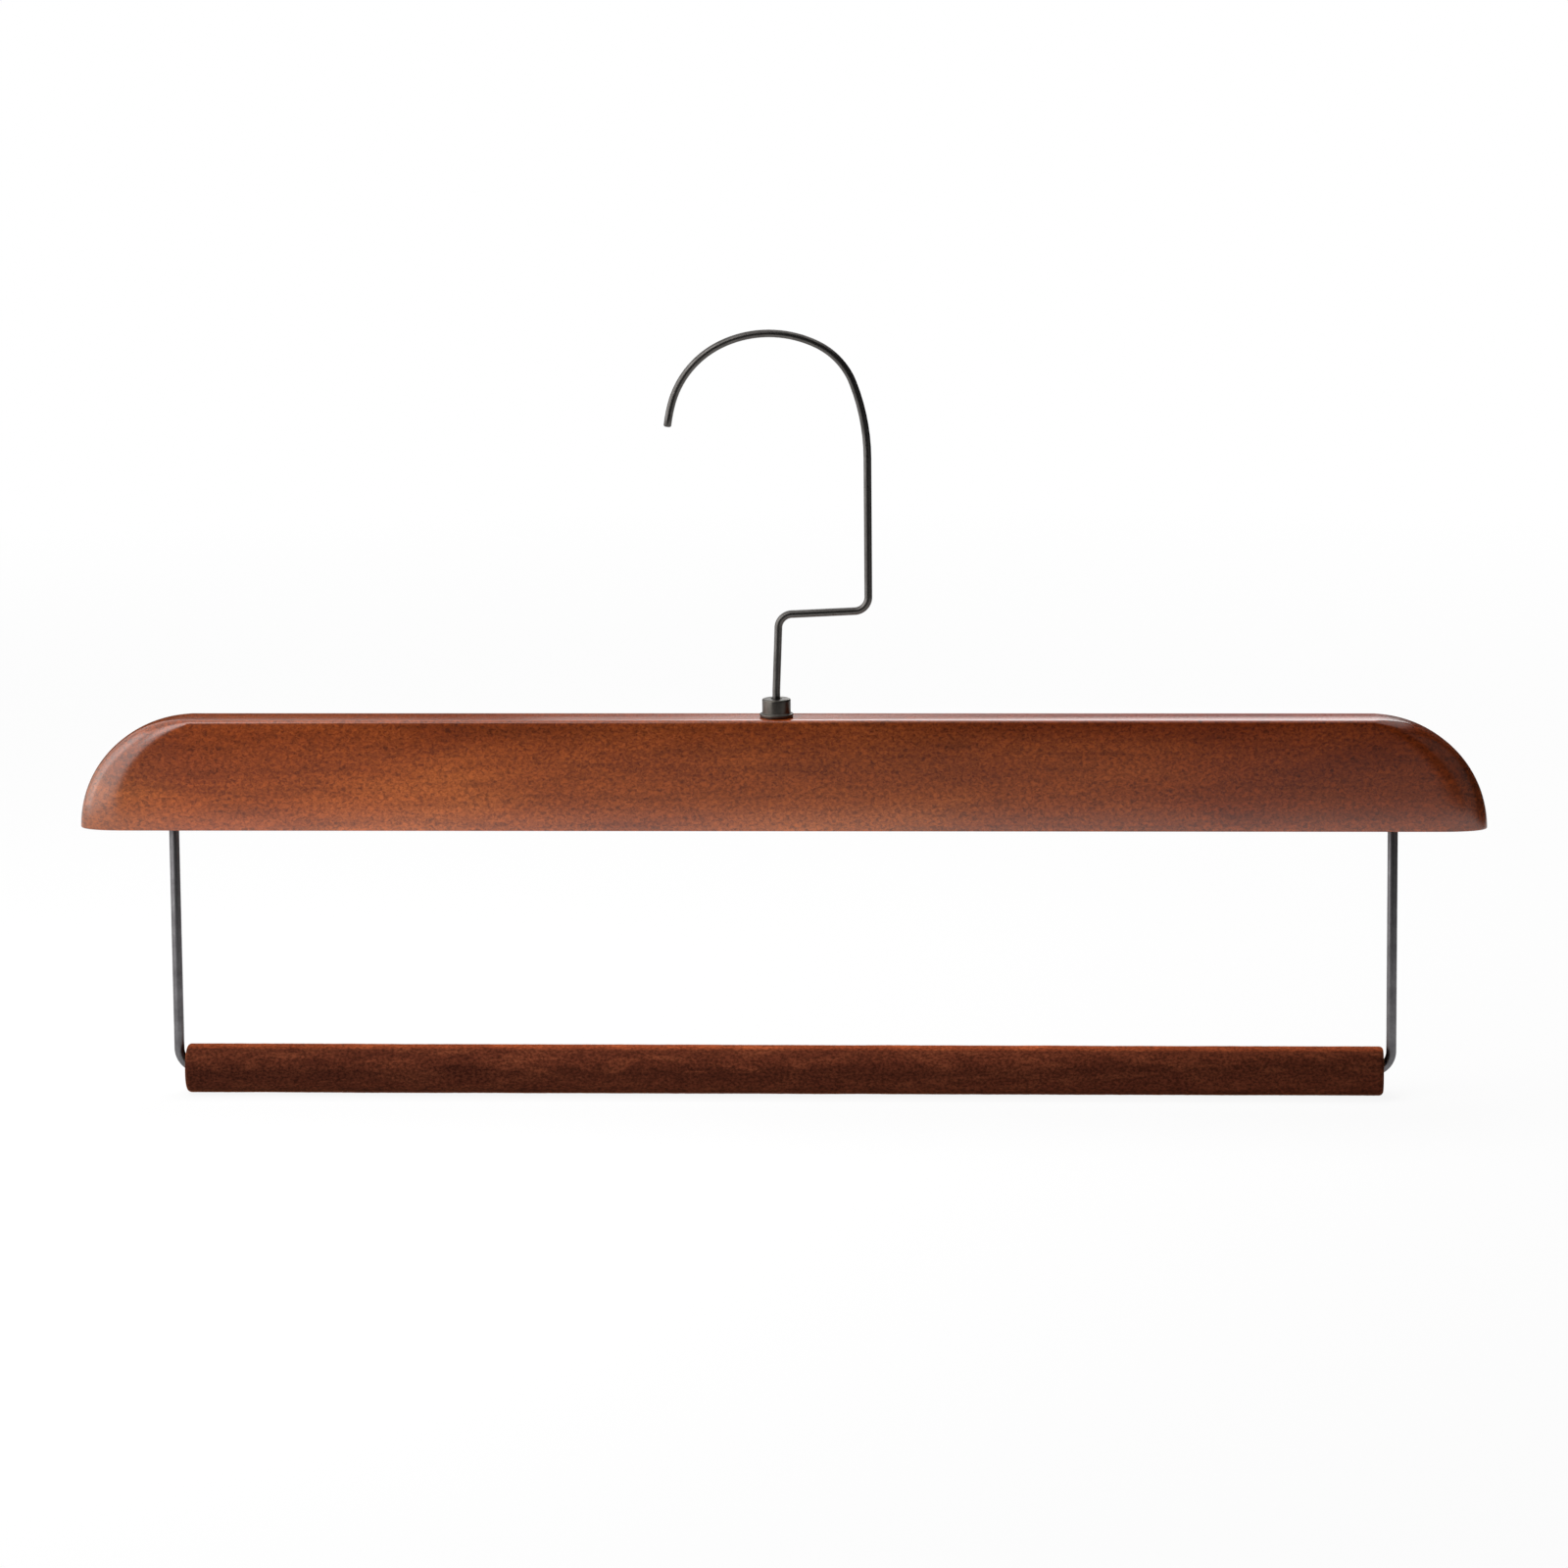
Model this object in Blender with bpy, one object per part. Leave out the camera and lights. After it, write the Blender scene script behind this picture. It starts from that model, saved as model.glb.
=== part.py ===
"""Trouser hanger: a wooden bar on a swivel hook, with a velvet-covered rail hung below it on two bent wires.

Metres, +Z up. X runs along the bar, Y from its front face to its back face. The origin is the point inside
the top of the hook's bowl that rests on a wardrobe rail.
"""
import math

import bmesh
import bpy
from mathutils import Matrix, Vector

# Wooden bar
bar_length = 0.400
bar_height = 0.032
bar_thickness = 0.014
top_arris = 0.0010          # rounding of the long top edges
end_round = 0.0085          # rounding of the front and back edges at the bar's ends, as seen from the front
end_round_depth = 0.0065    # the same rounding, measured through the bar's thickness
end_round_growth = 0.65     # how soon the rounding widens along an end: 1 is steadily, and less is sooner
bottom_arris = 0.0006       # rounding of the underside's edge

# Hook, bent from one round wire and headed at its lower end
hook_wire_diameter = 0.0022
hook_height = 0.109         # bar's top to the wire's centre at the top of the bowl
crown_radius = 0.0310       # top of the bowl; all radii are to the wire's centre
crown_angle = 26            # degrees that the wire has turned by the crown's end, on either side
near_shoulder_radius = 0.0265   # next two arcs towards the cut tip
near_shoulder_angle = 75
near_side_radius = 0.0440
tip_angle = 82.8            # degrees that the wire has turned at its cut tip
far_shoulder_radius = 0.0202    # next two arcs towards the straight run
far_shoulder_angle = 69
far_side_radius = 0.0595
bowl_offset = -0.0013       # bowl's top from the stem's axis
stem_offset = -0.0009       # stem's axis from the bar's middle
crank_height = 0.0291       # bar's top to the sideways crank, where it leaves the stem
crank_climb = 0.0012        # rise of the crank over its length
hook_bend_radius = 0.0040   # to the wire's centre
stem_lean = 0.0009          # sideways lean of the stem between the ferrule and the crank
stem_bend_radius = 0.020
head_diameter = 0.0042      # upset head that the hook hangs the bar from
head_length = 0.0012

# Turned ferrule that lines the hook's hole
ferrule_diameter = 0.0081
ferrule_height = 0.0051
ferrule_edge = 0.0005       # rounding of its top edge
flange_diameter = 0.0096
flange_height = 0.0006
shank_length = 0.0120
shank_core_diameter = 0.0052
barb_depth = 0.0005
barb_pitch = 0.0030
washer_diameter = 0.0056
washer_height = 0.0006

# Legs, bent from one thicker round wire each
leg_wire_diameter = 0.0029
leg_inset = 0.0266          # bar's end to a leg's centre
leg_bend_radius = 0.0058
leg_seat_depth = 0.018      # how far a leg stands in the bar
pin_reach = 0.0165          # leg's centre to the tip of its turned-in pin

# Rail
rail_drop = 0.1025          # bar's top to the rail's axis
rail_diameter = 0.0140      # over the velvet
rail_end_gap = 0.0022       # leg's centre to the rail's end
rail_end_round = 0.0013
velvet_thickness = 0.0009
rail_mouth_diameter = 0.0080
countersink_depth = 0.0040

# Clearances
seat_gap = 0.0003           # between two pieces that touch on the real hanger
pin_clearance = 0.0003      # radial, round the pins that the rail turns on
stem_clearance = 0.0003     # radial, round the stem that the hook turns on
end_play = 0.0003           # between the ferrule, the washer and the wire's head
drill_relief = 0.0008       # depth of a blind hole past what stands in it

# Facets
round_steps = 36            # sides of a turned piece
bore_steps = 24             # sides of a drilled hole
wire_sides = 14
bend_step = math.radians(7.5)
bowl_step = 4               # degrees
end_steps = 18              # facets along each rounded end of the bar
edge_steps = 5              # facets across an edge rounding

hook_radius = hook_wire_diameter / 2
leg_radius = leg_wire_diameter / 2
leg_x = bar_length / 2 - leg_inset
rail_half = leg_x - rail_end_gap
stem_bore_radius = hook_radius + stem_clearance
washer_top = -shank_length - end_play
head_top = washer_top - washer_height - end_play
hook_foot = head_top - head_length


def clear_scene():
    for thing in list(bpy.data.objects):
        bpy.data.objects.remove(thing, do_unlink=True)


def material(name, colour, roughness, metallic=0.0):
    made = bpy.data.materials.new(name)
    made.use_nodes = True
    shader = made.node_tree.nodes["Principled BSDF"]
    shader.inputs["Base Color"].default_value = (*colour, 1.0)
    shader.inputs["Roughness"].default_value = roughness
    shader.inputs["Metallic"].default_value = metallic
    made.diffuse_color = (*colour, 1.0)
    return made


def empty(name, location, parent=None):
    made = bpy.data.objects.new(name, None)
    made.location = location
    made.parent = parent
    bpy.context.collection.objects.link(made)
    return made


def node(name, data, surface, parent):
    """Links one sub-part, whose data is in its parent's frame."""
    made = bpy.data.objects.new(name, data)
    made.parent = parent
    data.materials.append(surface)
    bpy.context.collection.objects.link(made)
    return made


def finished_mesh(name, shape, sharp_angle=30):
    bmesh.ops.remove_doubles(shape, verts=shape.verts, dist=1e-7)
    bmesh.ops.recalc_face_normals(shape, faces=shape.faces)
    mesh = bpy.data.meshes.new(name)
    shape.to_mesh(mesh)
    shape.free()
    mesh.shade_smooth()
    mesh.set_sharp_from_angle(angle=math.radians(sharp_angle))
    return mesh


def turned(name, profile, steps=round_steps, along_x=False):
    """Spins a closed profile of (radius, height) points round Z, and lays it along X if asked."""
    shape = bmesh.new()
    corners = [shape.verts.new((radius, 0, height)) for radius, height in profile]
    outline = [shape.edges.new((a, b)) for a, b in zip(corners, corners[1:] + corners[:1])]
    bmesh.ops.spin(shape, geom=corners + outline, cent=(0, 0, 0), axis=(0, 0, 1), angle=math.tau,
                   steps=steps, use_merge=True)
    flat = [face for face in shape.faces if face.calc_area() < 1e-14]
    bmesh.ops.delete(shape, geom=flat, context="FACES_ONLY")
    bmesh.ops.remove_doubles(shape, verts=shape.verts, dist=1e-7)
    loose = [edge for edge in shape.edges if not edge.link_faces]
    bmesh.ops.delete(shape, geom=loose, context="EDGES")
    if along_x:
        bmesh.ops.rotate(shape, verts=shape.verts, cent=(0, 0, 0),
                         matrix=Matrix.Rotation(math.radians(90), 3, "Y"))
    return finished_mesh(name, shape)


def quarter(centre, radius, start, end, steps=4):
    """Points of a profile's rounding, as (radius, height), between two angles in degrees."""
    return [(centre[0] + radius * math.cos(math.radians(start + (end - start) * i / steps)),
             centre[1] + radius * math.sin(math.radians(start + (end - start) * i / steps)))
            for i in range(steps + 1)]


def fillet(before, corner, after, radius):
    """Points of the arc that rounds a path's corner, all in the XZ plane."""
    back = (before - corner).normalized()
    ahead = (after - corner).normalized()
    half = back.angle(ahead) / 2
    centre = corner + (back + ahead).normalized() * (radius / math.sin(half))
    start = corner + back * (radius / math.tan(half)) - centre
    end = corner + ahead * (radius / math.tan(half)) - centre
    sweep = math.pi - 2 * half
    turn = math.copysign(1, start.cross(end).y)
    steps = max(2, math.ceil(sweep / bend_step))
    return [centre + Matrix.Rotation(turn * sweep * i / steps, 3, "Y") @ start for i in range(steps + 1)]


def bent_path(points, radii):
    """A path through the points, with each inner corner rounded to its own radius."""
    path = [points[0]]
    for before, corner, after, radius in zip(points, points[1:], points[2:], radii):
        path += fillet(before, corner, after, radius)
    return path + [points[-1]]


def wire(name, path, radius):
    """A round wire along (point, share of the radius) pairs, with closed ends."""
    curve = bpy.data.curves.new(name, "CURVE")
    curve.dimensions = "3D"
    curve.bevel_depth = radius
    curve.bevel_resolution = wire_sides // 2 - 2
    curve.use_fill_caps = True
    spline = curve.splines.new("POLY")
    spline.points.add(len(path) - 1)
    for spot, (place, share) in zip(spline.points, path):
        spot.co = (*place, 1.0)
        spot.radius = share
    spline.use_smooth = True
    return curve


def eased_end(end, inner, radius):
    """The last two rings of a cut wire, with its sharp rim taken off."""
    ease = radius * 0.25
    inward = (inner - end).normalized()
    return [(end, 0.75), (end + inward * ease, 1.0)]


def arch(shoulder_radius, shoulder_angle, side_radius, last_angle):
    """One side of the bowl as tangent arcs, from the crown's middle outwards: (across, down) points."""
    arcs = [(crown_radius, 0, crown_angle), (shoulder_radius, crown_angle, shoulder_angle),
            (side_radius, shoulder_angle, last_angle)]
    points = [Vector((0, 0))]
    for radius, start, end in arcs:
        begin = points[-1].copy()
        steps = math.ceil((end - start) / bowl_step)
        for i in range(1, steps + 1):
            angle = math.radians(start + (end - start) * i / steps)
            points.append(begin + radius * Vector((math.sin(angle) - math.sin(math.radians(start)),
                                                   math.cos(math.radians(start)) - math.cos(angle))))
    return points


def hook_path():
    """Tip, bowl, straight run, crank, stem and headed foot, with the stem's axis at x = 0."""
    tip_side = arch(near_shoulder_radius, near_shoulder_angle, near_side_radius, tip_angle)
    run_side = arch(far_shoulder_radius, far_shoulder_angle, far_side_radius, 90)
    near = [Vector((bowl_offset - across, 0, hook_height - down)) for across, down in tip_side]
    far = [Vector((bowl_offset + across, 0, hook_height - down)) for across, down in run_side]
    bowl = near[::-1] + far[1:]
    run_x = far[-1].x
    corners = [bowl[-1],
               Vector((run_x, 0, crank_height + crank_climb)),
               Vector((stem_lean, 0, crank_height)),
               Vector((0, 0, ferrule_height + hook_wire_diameter)),
               Vector((0, 0, head_top))]
    lower = bent_path(corners, [hook_bend_radius, hook_bend_radius, stem_bend_radius])
    shank = [(place, 1.0) for place in bowl[1:] + lower[1:]]
    head = head_diameter / hook_wire_diameter
    rim = head_length * 0.25
    foot = [(Vector((0, 0, head_top - 0.00002)), head),
            (Vector((0, 0, hook_foot + rim)), head),
            (Vector((0, 0, hook_foot)), head * 0.8)]
    return eased_end(bowl[0], bowl[1], hook_radius) + shank + foot


def leg_path(side):
    """One leg, from its seat in the bar down to the rail and in along the rail's axis."""
    top = Vector((side * leg_x, 0, leg_seat_depth - bar_height))
    corner = Vector((side * leg_x, 0, -rail_drop))
    tip = Vector((side * (leg_x - pin_reach), 0, -rail_drop))
    path = bent_path([top, corner, tip], [leg_bend_radius])
    middle = [(place, 1.0) for place in path[1:-1]]
    start = eased_end(path[0], path[1], leg_radius)
    end = eased_end(path[-1], path[-2], leg_radius)
    return start + middle + end[::-1]


def bar_outline():
    """Front view of the bar before its underside is cut: (x, z, outward x, outward z, edge rounding)."""
    straight = bar_length / 2 - bar_height
    spare = bar_height / 3
    right = []
    for i in range(end_steps + 1):
        angle = math.pi / 2 * i / end_steps
        rounding = top_arris + (end_round - top_arris) * (i / end_steps) ** end_round_growth
        right.append((straight + bar_height * math.sin(angle), bar_height * (math.cos(angle) - 1),
                      math.sin(angle), math.cos(angle), rounding))
    right.append((bar_length / 2, -bar_height - spare, 1, -1, end_round))
    left = [(-x, z, -out_x, out_z, rounding) for x, z, out_x, out_z, rounding in reversed(right)]
    return right + left


def ring(shape, outline, side, angle):
    """One loop round the bar, at a given angle of its edge rounding, on the front (-1) or back (1)."""
    deepest = min(end_round_depth, bar_thickness / 2 - 0.0002)
    corners = []
    for x, z, out_x, out_z, rounding in outline:
        inset = rounding * (1 - math.sin(angle))
        depth = min(rounding, deepest) * (1 - math.cos(angle))
        corners.append(shape.verts.new((x - out_x * inset, side * (bar_thickness / 2 - depth), z - out_z * inset)))
    return [shape.edges.new((a, b)) for a, b in zip(corners, corners[1:] + corners[:1])]


def blank_bar():
    """The bar without its holes: loops bridged from face to face, then the underside cut flat and eased."""
    shape = bmesh.new()
    outline = bar_outline()
    angles = [math.pi / 2 * i / edge_steps for i in range(edge_steps + 1)]
    loops = [ring(shape, outline, -1, angle) for angle in angles]
    loops += [ring(shape, outline, 1, angle) for angle in reversed(angles)]
    for first, second in zip(loops, loops[1:]):
        bmesh.ops.bridge_loops(shape, edges=first + second)
    for loop in (loops[0], loops[-1]):
        bmesh.ops.contextual_create(shape, geom=loop)
    cut = bmesh.ops.bisect_plane(shape, geom=shape.verts[:] + shape.edges[:] + shape.faces[:], dist=1e-7,
                                 plane_co=(0, 0, -bar_height), plane_no=(0, 0, -1), clear_outer=True)
    rim = [item for item in cut["geom_cut"] if isinstance(item, bmesh.types.BMEdge)]
    bmesh.ops.contextual_create(shape, geom=rim)
    bmesh.ops.bevel(shape, geom=rim, offset=bottom_arris, offset_type="OFFSET", segments=2, profile=0.5,
                    affect="EDGES", material=-1, clamp_overlap=True)
    return finished_mesh("top_bar", shape)


def drill(target, name, x, mouth, depth, radius, upward):
    """Cuts a blind hole with a drill point, from a mouth height up or down into the bar."""
    point = radius * math.tan(math.radians(31))
    spare = 0.002
    sign = 1 if upward else -1
    profile = [(0, -sign * spare), (radius, -sign * spare), (radius, sign * depth), (0, sign * (depth + point))]
    cutter = node(name, turned(name, profile, bore_steps), cut_surface, target.parent)
    cutter.location = (x, 0, mouth)
    cutter.hide_render = True
    cutter.display_type = "WIRE"
    boolean = target.modifiers.new(name, "BOOLEAN")
    boolean.operation = "DIFFERENCE"
    boolean.solver = "EXACT"
    boolean.object = cutter


def add_bar(parent, surface):
    bar = node("top_bar", blank_bar(), surface, parent)
    shank_radius = shank_core_diameter / 2 + barb_depth
    hole = max(shank_radius, washer_diameter / 2, head_diameter / 2) + seat_gap
    drill(bar, "ferrule_drill", stem_offset, 0, -hook_foot + drill_relief, hole, upward=False)
    for side, name in ((-1, "left_leg_drill"), (1, "right_leg_drill")):
        drill(bar, name, side * leg_x, -bar_height, leg_seat_depth + drill_relief, leg_radius + seat_gap,
              upward=True)


def add_ferrule(parent, surface):
    """Flange and barrel above the bar, and a barbed shank in it, all round one bore for the stem."""
    body = ferrule_diameter / 2
    core = shank_core_diameter / 2
    lip = 0.0003
    profile = [(stem_bore_radius + lip, ferrule_height), (stem_bore_radius, ferrule_height - lip),
               (stem_bore_radius, -shank_length), (core - lip, -shank_length)]
    barbs = int((shank_length - barb_pitch / 2) / barb_pitch)
    foot = -shank_length
    for i in range(barbs):
        low = foot + i * barb_pitch
        profile += [(core, low + barb_pitch * 0.15), (core + barb_depth, low + barb_pitch * 0.75),
                    (core, low + barb_pitch * 0.85)]
    profile += [(core, seat_gap), (flange_diameter / 2, seat_gap)]
    profile += quarter((flange_diameter / 2 - flange_height / 2, seat_gap + flange_height / 2), flange_height / 2,
                       0, 90, 3)
    profile += [(body, seat_gap + flange_height)]
    profile += quarter((body - ferrule_edge, ferrule_height - ferrule_edge), ferrule_edge, 0, 90, 3)
    node("hook_ferrule", turned("hook_ferrule", profile), surface, parent)


def add_washer(parent, surface):
    low = washer_top - washer_height
    profile = [(stem_bore_radius, low), (washer_diameter / 2, low), (washer_diameter / 2, washer_top),
               (stem_bore_radius, washer_top)]
    node("swivel_washer", turned("swivel_washer", profile, bore_steps), surface, parent)


def mirrored_ends(half_profile):
    """A closed profile from its right half, listed from the axis or bore outwards."""
    return half_profile + [(radius, -height) for radius, height in reversed(half_profile)]


def add_rail(parent, velvet, timber):
    """A drilled and countersunk dowel in a velvet cover that turns in over its ends."""
    outer = rail_diameter / 2
    mouth = rail_mouth_diameter / 2
    pin_bore = leg_radius + pin_clearance
    inside = rail_half - velvet_thickness
    dowel_end = inside - seat_gap
    dowel_radius = outer - velvet_thickness - seat_gap
    bore_end = leg_x - pin_reach - drill_relief
    dowel = [(0, bore_end - pin_bore * math.tan(math.radians(31))), (pin_bore, bore_end),
             (pin_bore, dowel_end - countersink_depth), (mouth, dowel_end), (dowel_radius, dowel_end)]
    node("rail_dowel", turned("rail_dowel", mirrored_ends(dowel), along_x=True), timber, parent)

    cover = quarter((outer - rail_end_round, rail_half - rail_end_round), rail_end_round, 0, 90, 5)
    outside = [(mouth, inside), (mouth, rail_half)] + cover[::-1]
    lining = [(outer - velvet_thickness, inside)]
    profile = outside + [(radius, -height) for radius, height in reversed(outside)]
    profile += [(radius, -height) for radius, height in lining] + lining
    node("rail_velvet", turned("rail_velvet", profile, along_x=True), velvet, parent)


clear_scene()
stained_beech = material("stained_beech", (0.19, 0.055, 0.022), 0.38)
bare_beech = material("bare_beech", (0.56, 0.35, 0.18), 0.7)
dark_wire = material("dark_wire", (0.09, 0.08, 0.08), 0.35, 0.9)
dark_leg_wire = material("dark_leg_wire", (0.08, 0.07, 0.08), 0.4, 0.9)
dark_ferrule = material("dark_ferrule", (0.10, 0.09, 0.08), 0.35, 0.9)
plain_steel = material("plain_steel", (0.45, 0.45, 0.45), 0.4, 1.0)
brown_velvet = material("brown_velvet", (0.07, 0.02, 0.012), 0.95)
cut_surface = material("cut_surface", (0.5, 0.4, 0.3), 0.8)

bar_top = hook_radius - hook_height
swivel = empty("swivel_axis", (-bowl_offset, 0, bar_top))
bar_middle = empty("bar_middle", (-stem_offset, 0, 0), swivel)
rail_axis = empty("rail_axis", (0, 0, -rail_drop), bar_middle)

node("hook_wire", wire("hook_wire", hook_path(), hook_radius), dark_wire, swivel)
add_ferrule(swivel, dark_ferrule)
add_washer(swivel, plain_steel)
add_bar(bar_middle, stained_beech)
node("left_leg_wire", wire("left_leg_wire", leg_path(-1), leg_radius), dark_leg_wire, bar_middle)
node("right_leg_wire", wire("right_leg_wire", leg_path(1), leg_radius), dark_leg_wire, bar_middle)
add_rail(rail_axis, brown_velvet, bare_beech)
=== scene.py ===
"""Looks of the trouser hanger: stained beech bar, bent dark wires, turned ferrule and velvet-covered rail.

Metres, in the row frame. Each piece is made with z = 0 at the bar's top, round the bar's middle or the
stem's axis, and is then placed.
"""
import math

import bmesh
import bpy
from mathutils import Matrix, Vector, noise


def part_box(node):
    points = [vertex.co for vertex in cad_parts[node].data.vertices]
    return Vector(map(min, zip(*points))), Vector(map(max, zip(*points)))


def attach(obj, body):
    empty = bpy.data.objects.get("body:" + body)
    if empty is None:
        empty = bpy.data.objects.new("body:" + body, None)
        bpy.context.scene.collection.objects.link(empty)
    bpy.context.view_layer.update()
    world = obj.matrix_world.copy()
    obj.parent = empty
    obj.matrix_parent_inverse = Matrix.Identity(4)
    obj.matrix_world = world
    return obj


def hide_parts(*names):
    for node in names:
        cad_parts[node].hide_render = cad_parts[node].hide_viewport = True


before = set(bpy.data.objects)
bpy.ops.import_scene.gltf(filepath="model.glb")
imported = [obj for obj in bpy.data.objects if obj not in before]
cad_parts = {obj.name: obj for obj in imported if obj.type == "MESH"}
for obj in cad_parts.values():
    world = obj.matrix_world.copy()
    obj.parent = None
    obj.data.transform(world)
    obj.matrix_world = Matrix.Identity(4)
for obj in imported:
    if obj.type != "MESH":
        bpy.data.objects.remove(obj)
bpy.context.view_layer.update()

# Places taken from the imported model
bar_low, bar_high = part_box("top_bar")
rail_low, rail_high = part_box("rail_velvet")
stem_offset = -0.0009       # stem's axis from the bar's middle
bar_middle = Vector(((bar_low.x + bar_high.x) / 2, 0, bar_high.z))
stem_foot = bar_middle + Vector((stem_offset, 0, 0))
floor_gap = 0.0001          # under the rail
floor_height = rail_low.z - floor_gap

# Wooden bar
bar_length = bar_high.x - bar_low.x
bar_height = bar_high.z - bar_low.z
bar_thickness = bar_high.y - bar_low.y
top_arris = 0.0010
end_round = 0.0115          # rounding at the ends as seen from the front
end_round_depth = 0.0065    # the same rounding through the bar's thickness
end_round_growth = 0.75     # 1 widens the rounding evenly along an end, and less widens it sooner
end_round_softness = 1.3    # the ends' rounding starts this many times gentler than a quarter ellipse
bottom_arris = 0.0006
face_crown = 0.04           # share of the thickness that is sanded off at the bar's long edges
top_crown = 0.00025         # fall of the bar's top from its middle to its edges
face_border = 0.0012        # width of the ring of faces that keeps the rounding's shading off the flat
blank_spare = 0.6           # blank's reach below the finished bar, as a share of the bar's height

# Drilled holes
drill_angle = 31            # degrees from a flat bottom to a drill point's cone
drill_relief = 0.0008       # depth of a blind hole past what stands in it
drill_overrun = 0.002       # cutter's reach outside the hole's mouth
ferrule_drill_radius = 0.0034
leg_drill_gap = 0.0001      # round a leg in its hole

# Hook: each angle is the degrees from the bowl's top at which an arc ends
hook_radius = 0.0011
hook_height = 0.109         # of the bowl's centre line above the bar
crown_radius = 0.0310
crown_angle = 26
near_shoulder_radius = 0.0265   # towards the cut tip
near_shoulder_angle = 75
near_side_radius = 0.0440
tip_angle = 82.8
far_shoulder_radius = 0.0202    # towards the straight run
far_shoulder_angle = 69
far_side_radius = 0.0595
bowl_offset = -0.0013       # bowl's top from the stem's axis
crank_height = 0.0291       # at the stem
crank_climb = 0.0012        # from the stem to the straight run
hook_bend_radius = 0.0040
stem_lean = 0.0009          # stem's top from its axis
stem_bend_radius = 0.020
head_radius = 0.0021
head_length = 0.0012
head_step = 0.00002         # length in which the stem widens to the head
head_rim = 0.0004           # length left for that step and the head's eased rim
hook_foot = -0.0144

# Ferrule
ferrule_radius = 0.00405
ferrule_height = 0.0051
ferrule_edge = 0.0005
flange_radius = 0.0048
flange_height = 0.0006
flange_gap = 0.00005        # under the flange's flat
flange_chamfer = 0.0001
foot_fillet = 0.0002        # between the flange and the barrel
bore_lip = 0.0003
shank_length = 0.0120
shank_core_radius = 0.0026
barb_depth = 0.0005
barb_pitch = 0.0030
barb_foot = 0.15            # a barb's low edge, rim and back, in shares of the pitch
barb_rim = 0.75
barb_back = 0.85
stem_bore_radius = 0.0014

# Legs and rail
leg_radius = 0.00145
leg_inset = 0.0266          # bar's end to a leg's centre
leg_x = bar_length / 2 - leg_inset
leg_bend_radius = 0.0058
leg_seat_depth = 0.018      # in the bar
pin_reach = 0.0165          # from the leg's centre to the pin's cut
rail_drop = 0.1025          # rail's axis below the bar's top
rail_radius = 0.0070
rail_setback = 0.0022       # from the leg's centre to the rail's end
rail_half = leg_x - rail_setback
rail_end_round = 0.0013
velvet_thickness = 0.0009
velvet_mouth_edge = 0.0003
rail_mouth_radius = 0.0040
countersink_depth = 0.0040
pin_bore_radius = 0.00175
seat_gap = 0.0003
pile_fine = 0.00004         # heights of the pile's unevenness, and how many waves go to a metre
pile_fine_waves = 900
pile_broad = 0.00006
pile_broad_waves = 70
pile_layers = 2             # layers of the fine unevenness, each finer by the ratio and with that fall-off
pile_layer_ratio = 2.0
pile_fall_off = 0.8

# Eased rim of a cut wire, in steps from the flat cut: lengths as shares of the wire's radius, and growths
cut_share = 0.72            # radius of the flat cut, as a share of the wire's
ease_lengths = (0.08, 0.10, 0.14)
ease_growths = [1.18, 1.10]
ease_growths.append(1 / (cut_share * math.prod(ease_growths)))
ease_reach = sum(ease_lengths)

# Fineness of the meshes
wire_sides = 28
bend_step = 3               # degrees
turned_steps = 72
end_steps = 60
edge_steps = 14
arris_steps = 4
face_slices = 16
drill_sides = 48
rounding_steps = 8
velvet_steps = 96
velvet_end_steps = 7
velvet_pitch = 0.0008
sharp_edge = 32             # degrees
velvet_sharp_edge = 60
weld_distance = 1e-7
least_face_area = 1e-14

# Camera
camera_distance = 2.0
camera_elevation = math.radians(10.4)
camera_yaw = math.radians(3.0)
camera_roll = math.radians(-0.502)
camera_aim = Vector((0.00324, 0, -0.12743))
focal_pixels = 7190.8
photo_width = 1600

# Room and floor
room_light = 0.03
floor_radius = 9.0
floor_sides = 96
near_white = 0.9            # share of pure white near the hanger; the rest shows its soft shadow
near_reach = 0.3            # that share holds up to here, and pure white starts at the far reach
far_reach = 1.2


def add_camera():
    """Looks at the hanger from the front, a little from the right and from above."""
    outward = Vector((math.sin(camera_yaw) * math.cos(camera_elevation),
                      -math.cos(camera_yaw) * math.cos(camera_elevation),
                      math.sin(camera_elevation)))
    data = bpy.data.cameras.new("camera")
    data.lens = focal_pixels / photo_width * data.sensor_width
    camera = bpy.data.objects.new("camera", data)
    bpy.context.collection.objects.link(camera)
    turn = outward.to_track_quat("Z", "Y").to_matrix().to_4x4() @ Matrix.Rotation(camera_roll, 4, "Z")
    camera.matrix_world = Matrix.Translation(camera_aim + outward * camera_distance) @ turn
    bpy.context.scene.camera = camera


def link(tree, source, target):
    tree.links.new(source, target)


def background_share(tree, share):
    """The share of white that the camera's rays and those sent on by gloss meet, and none for other rays.

    The share is a number, or a node's output where it changes from place to place.
    """
    path = tree.nodes.new("ShaderNodeLightPath")
    total = path.outputs["Is Camera Ray"]
    for kind in ("Is Glossy Ray", "Is Transmission Ray"):
        adding = tree.nodes.new("ShaderNodeMath")
        adding.operation = "ADD"
        adding.use_clamp = True
        link(tree, total, adding.inputs[0])
        link(tree, path.outputs[kind], adding.inputs[1])
        total = adding.outputs[0]
    scaled = tree.nodes.new("ShaderNodeMath")
    scaled.operation = "MULTIPLY"
    link(tree, total, scaled.inputs[0])
    if isinstance(share, float):
        scaled.inputs[1].default_value = share
    else:
        link(tree, share, scaled.inputs[1])
    return scaled.outputs[0]


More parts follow.
